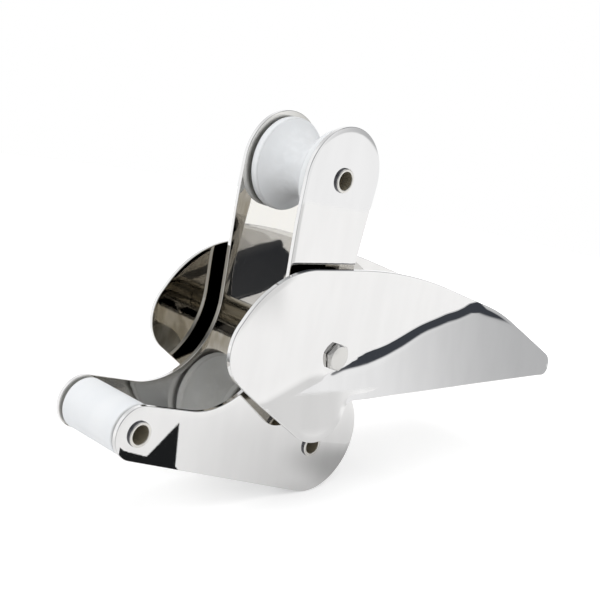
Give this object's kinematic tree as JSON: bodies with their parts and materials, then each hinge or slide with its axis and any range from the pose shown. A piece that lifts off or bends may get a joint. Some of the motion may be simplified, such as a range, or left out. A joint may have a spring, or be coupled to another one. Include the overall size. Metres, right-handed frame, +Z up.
{
  "type": "hinged bow roller",
  "caption": "Hinged bow roller: flared stainless cheeks on a deck plate carry a tilting boomerang rocker with grooved nylon rollers that guide an anchor chain.",
  "frame": {"origin": "middle of the deck plate's underside, on the deck's surface", "axes": "+X inboard along the deck, +Y to starboard, +Z up; the rocker hangs over the bow towards -X"},
  "size_m": [0.4241, 0.1112, 0.2524],
  "materials": {
    "polished_stainless": "mirror-polished stainless steel",
    "fastener_stainless": "satin stainless steel",
    "white_nylon": "turned white nylon",
    "natural_acetal": "turned acetal"
  },
  "bodies": {
    "base": {"port_cheek": "polished_stainless", "starboard_cheek": "polished_stainless", "deck_plate": "polished_stainless", "pivot_bolt": "fastener_stainless", "pivot_nut": "fastener_stainless", "nut_washer": "fastener_stainless", "port_pivot_spacer": "fastener_stainless", "starboard_pivot_spacer": "fastener_stainless"},
    "rocker": {"port_rocker_plate": "polished_stainless", "starboard_rocker_plate": "polished_stainless", "pivot_tube": "polished_stainless", "port_pivot_bush": "natural_acetal", "starboard_pivot_bush": "natural_acetal", "head_axle": "polished_stainless", "heel_axle": "polished_stainless", "toe_axle": "polished_stainless", "head_port_washer": "natural_acetal", "head_starboard_washer": "natural_acetal", "heel_port_washer": "natural_acetal", "heel_starboard_washer": "natural_acetal", "toe_port_washer": "natural_acetal", "toe_starboard_washer": "natural_acetal"},
    "head_wheel": {"head_roller": "white_nylon"},
    "heel_wheel": {"heel_roller": "white_nylon"},
    "toe_wheel": {"toe_roller": "white_nylon"}
  },
  "joints": [
    {"name": "rocker_tilt", "type": "hinge", "parent": "base", "child": "rocker", "pos_m": [-0.1383, 0, 0.0316], "axis": [0, 1, 0], "range_deg": [0, 92]},
    {"name": "head_spin", "type": "hinge", "parent": "rocker", "child": "head_wheel", "pos_m": [-0.1535, 0, 0.1477], "axis": [0, 1, 0], "continuous": true},
    {"name": "heel_spin", "type": "hinge", "parent": "rocker", "child": "heel_wheel", "pos_m": [-0.1345, 0, -0.035], "axis": [0, 1, 0], "continuous": true},
    {"name": "toe_spin", "type": "hinge", "parent": "rocker", "child": "toe_wheel", "pos_m": [-0.2907, 0, -0.0058], "axis": [0, 1, 0], "continuous": true}
  ]
}
